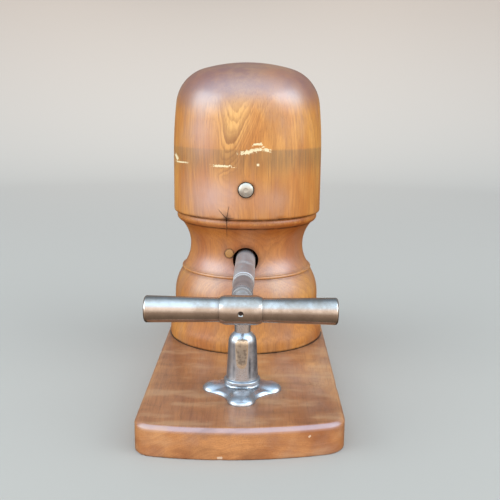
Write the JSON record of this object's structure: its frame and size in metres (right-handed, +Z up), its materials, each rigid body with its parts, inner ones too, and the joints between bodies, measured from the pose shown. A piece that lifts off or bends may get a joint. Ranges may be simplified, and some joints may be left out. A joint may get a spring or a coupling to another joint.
{
  "type": "hat stretcher",
  "caption": "Turned wooden hat block sawn into two halves on a base board; a cross-handled screw in a pillar bracket pushes the rear half back to stretch a hat.",
  "frame": {"origin": "centre of the base board's underside", "axes": "+Z up, +Y along the board from the handle to the rear half, +X to the right seen from the handle"},
  "size_m": [0.176, 0.426, 0.324],
  "materials": {
    "block_wood": "honey-brown varnished hardwood, worn",
    "board_wood": "browner varnished hardwood, worn",
    "pale_wood": "pale plug of bare wood",
    "worn_steel": "turned steel, worn and tarnished",
    "dark_steel": "dark blued steel",
    "bright_steel": "polished steel",
    "bracket_metal": "polished casting with plating worn to a brassy tone",
    "brass": "dull brass"
  },
  "bodies": {
    "stand": {"base_board": "board_wood", "front_block": "block_wood", "front_block_screws": "dark_steel", "neck_plug": "pale_wood", "guide_bush": "brass", "pillar_bracket": "bracket_metal", "bracket_screws": "dark_steel"},
    "screw": {"spindle": "worn_steel", "handle_bar": "worn_steel", "handle_boss": "worn_steel", "handle_pin": "dark_steel", "thrust_collar": "worn_steel", "collar_pin": "dark_steel"},
    "carriage": {"rear_block": "block_wood", "strap_plate": "dark_steel", "strap_screws": "worn_steel", "nut_tube": "worn_steel", "tube_nut": "brass", "nut_pins": "dark_steel", "guide_rod": "bright_steel", "slide_key": "board_wood", "key_screws": "worn_steel", "slide_bolt": "dark_steel", "slide_washer": "worn_steel"}
  },
  "joints": [
    {"name": "screw_turn", "type": "hinge", "parent": "stand", "child": "screw", "pos_m": [0, -0.132, 0.1215], "axis": [0, -1, 0], "range_deg": [0, 3600]},
    {"name": "carriage_slide", "type": "slide", "parent": "stand", "child": "carriage", "axis": [0, 1, 0], "range_m": [0, 0.05]}
  ],
  "couplings": [
    {"joint": "carriage_slide", "follows": "screw_turn", "m_per_rad": 0.00079577}
  ]
}
